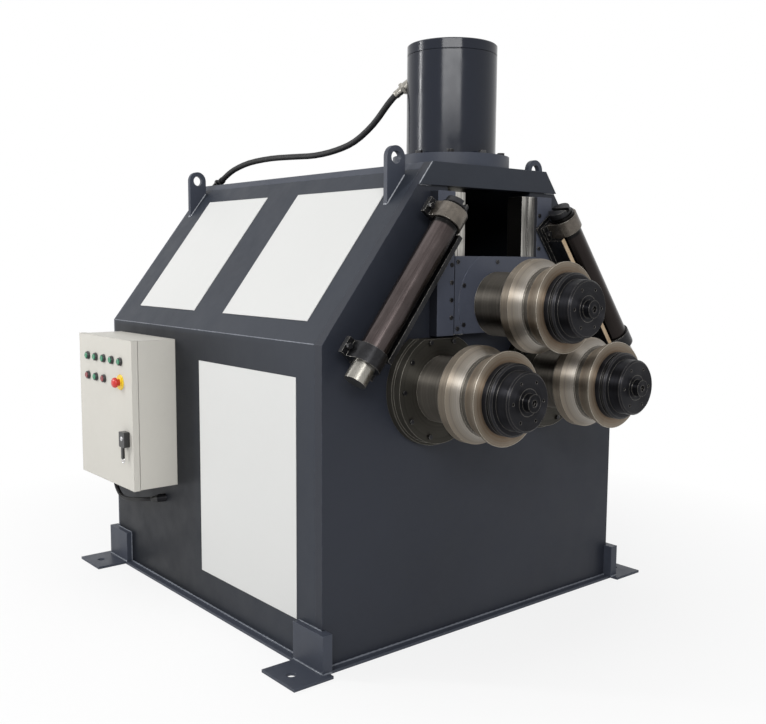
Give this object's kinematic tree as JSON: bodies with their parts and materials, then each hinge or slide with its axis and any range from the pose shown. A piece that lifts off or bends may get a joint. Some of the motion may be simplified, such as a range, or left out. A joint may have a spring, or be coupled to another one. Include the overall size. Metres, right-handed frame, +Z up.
{
  "type": "angle roll bender",
  "caption": "Floor-standing angle roll bender: grooved driven rolls on a sloped welded housing, a hydraulic upper slide, screw-set side guides and a wall control box.",
  "frame": {"origin": "on the floor, in the middle of the four anchor holes", "axes": "+Z up, -Y towards the rolls at the front, +X to the right seen from the front"},
  "size_m": [1.913, 2.142, 2.173],
  "materials": {
    "slate_paint": "satin",
    "white_paint": "satin",
    "box_paint": "satin",
    "bright_steel": "brushed",
    "roll_steel": "turned",
    "black_steel": "black oxide",
    "tube_steel": "burnished",
    "black_rubber": "matt",
    "black_plastic": "matt",
    "red_plastic": "gloss",
    "green_plastic": "gloss"
  },
  "bodies": {
    "frame": {"base_plate": "slate_paint", "front_plate": "slate_paint", "rear_plate": "slate_paint", "housing_left": "slate_paint", "housing_right": "slate_paint", "top_plate": "slate_paint", "header_beam": "slate_paint", "cover_panels": "white_paint", "anchor_feet": "slate_paint", "lifting_lugs": "slate_paint", "keeper_plates": "slate_paint", "guide_rails": "bright_steel", "cylinder_flange": "slate_paint", "cylinder_barrel": "slate_paint", "cylinder_cap": "slate_paint", "line_fittings": "bright_steel", "hydraulic_hose": "black_rubber", "bearing_flanges": "slate_paint", "frame_bolts": "black_steel", "gear_motor": "slate_paint", "pump_set": "slate_paint", "post_brackets": "black_steel", "post_tubes": "tube_steel", "box_body": "box_paint", "box_cable": "black_rubber"},
    "slide": {"slide_block": "slate_paint", "slide_face": "slate_paint", "piston_rod": "bright_steel", "slide_bolts": "black_steel"},
    "upper_roll": {"upper_shaft": "black_steel", "upper_spacers": "bright_steel", "upper_inner_roll": "roll_steel", "upper_outer_roll": "roll_steel", "upper_lock_nut": "black_steel"},
    "left_roll": {"left_shaft": "black_steel", "left_spacers": "bright_steel", "left_inner_roll": "roll_steel", "left_outer_roll": "roll_steel", "left_lock_nut": "black_steel"},
    "right_roll": {"right_shaft": "black_steel", "right_spacers": "bright_steel", "right_inner_roll": "roll_steel", "right_outer_roll": "roll_steel", "right_lock_nut": "black_steel"},
    "pinion": {"drive_pinion": "black_steel"},
    "left_screw": {"left_spindle": "black_steel"},
    "left_guide": {"left_ram": "bright_steel"},
    "right_screw": {"right_spindle": "black_steel"},
    "right_guide": {"right_ram": "bright_steel"},
    "door": {"box_door": "box_paint"},
    "lock": {"door_lock": "black_plastic"},
    "stop": {"emergency_stop": "red_plastic"},
    "press_1": {"button_1": "green_plastic"},
    "press_2": {"button_2": "green_plastic"},
    "press_3": {"button_3": "green_plastic"},
    "press_4": {"button_4": "green_plastic"},
    "press_5": {"button_5": "green_plastic"},
    "press_6": {"button_6": "red_plastic"},
    "press_7": {"button_7": "green_plastic"},
    "press_8": {"button_8": "red_plastic"}
  },
  "joints": [
    {"name": "slide_lift", "type": "slide", "parent": "frame", "child": "slide", "axis": [0, 0, 1], "range_m": [0, 0.18]},
    {"name": "upper_roll_turn", "type": "hinge", "parent": "slide", "child": "upper_roll", "pos_m": [0, -0.795, 1.213], "axis": [0, 1, 0], "continuous": true},
    {"name": "left_roll_turn", "type": "hinge", "parent": "frame", "child": "left_roll", "pos_m": [-0.288, -0.795, 0.923], "axis": [0, 1, 0], "continuous": true},
    {"name": "right_roll_turn", "type": "hinge", "parent": "frame", "child": "right_roll", "pos_m": [0.288, -0.795, 0.923], "axis": [0, 1, 0], "continuous": true},
    {"name": "pinion_turn", "type": "hinge", "parent": "frame", "child": "pinion", "pos_m": [0, -0.4, 0.923], "axis": [0, 1, 0], "continuous": true},
    {"name": "left_screw_turn", "type": "hinge", "parent": "frame", "child": "left_screw", "pos_m": [-0.636, -0.897, 1.081], "axis": [0.6066, 0, 0.795], "range_deg": [0, 7200]},
    {"name": "left_guide_slide", "type": "slide", "parent": "frame", "child": "left_guide", "axis": [-0.6066, 0, -0.795], "range_m": [0, 0.2]},
    {"name": "right_screw_turn", "type": "hinge", "parent": "frame", "child": "right_screw", "pos_m": [0.636, -0.897, 1.081], "axis": [-0.6066, 0, 0.795], "range_deg": [0, 7200]},
    {"name": "right_guide_slide", "type": "slide", "parent": "frame", "child": "right_guide", "axis": [0.6066, 0, -0.795], "range_m": [0, 0.2]},
    {"name": "door_hinge", "type": "hinge", "parent": "frame", "child": "door", "pos_m": [-0.939, 0.735, 0.748], "axis": [0, 0, -1], "range_deg": [0, 110]},
    {"name": "lock_turn", "type": "hinge", "parent": "door", "child": "lock", "pos_m": [-0.955, 0.265, 0.652], "axis": [1, 0, 0], "range_deg": [0, 90]},
    {"name": "stop_press", "type": "slide", "parent": "door", "child": "stop", "axis": [1, 0, 0], "range_m": [0, 0.006], "stiffness_N_per_m": 900},
    {"name": "press_1_push", "type": "slide", "parent": "door", "child": "press_1", "axis": [1, 0, 0], "range_m": [0, 0.003], "stiffness_N_per_m": 600},
    {"name": "press_2_push", "type": "slide", "parent": "door", "child": "press_2", "axis": [1, 0, 0], "range_m": [0, 0.003], "stiffness_N_per_m": 600},
    {"name": "press_3_push", "type": "slide", "parent": "door", "child": "press_3", "axis": [1, 0, 0], "range_m": [0, 0.003], "stiffness_N_per_m": 600},
    {"name": "press_4_push", "type": "slide", "parent": "door", "child": "press_4", "axis": [1, 0, 0], "range_m": [0, 0.003], "stiffness_N_per_m": 600},
    {"name": "press_5_push", "type": "slide", "parent": "door", "child": "press_5", "axis": [1, 0, 0], "range_m": [0, 0.003], "stiffness_N_per_m": 600},
    {"name": "press_6_push", "type": "slide", "parent": "door", "child": "press_6", "axis": [1, 0, 0], "range_m": [0, 0.003], "stiffness_N_per_m": 600},
    {"name": "press_7_push", "type": "slide", "parent": "door", "child": "press_7", "axis": [1, 0, 0], "range_m": [0, 0.003], "stiffness_N_per_m": 600},
    {"name": "press_8_push", "type": "slide", "parent": "door", "child": "press_8", "axis": [1, 0, 0], "range_m": [0, 0.003], "stiffness_N_per_m": 600}
  ],
  "couplings": [
    {"joint": "right_roll_turn", "follows": "left_roll_turn", "ratio": 1},
    {"joint": "pinion_turn", "follows": "left_roll_turn", "ratio": -1.6667},
    {"joint": "left_guide_slide", "follows": "left_screw_turn", "m_per_rad": 0.0015915},
    {"joint": "right_guide_slide", "follows": "right_screw_turn", "m_per_rad": 0.0015915}
  ]
}
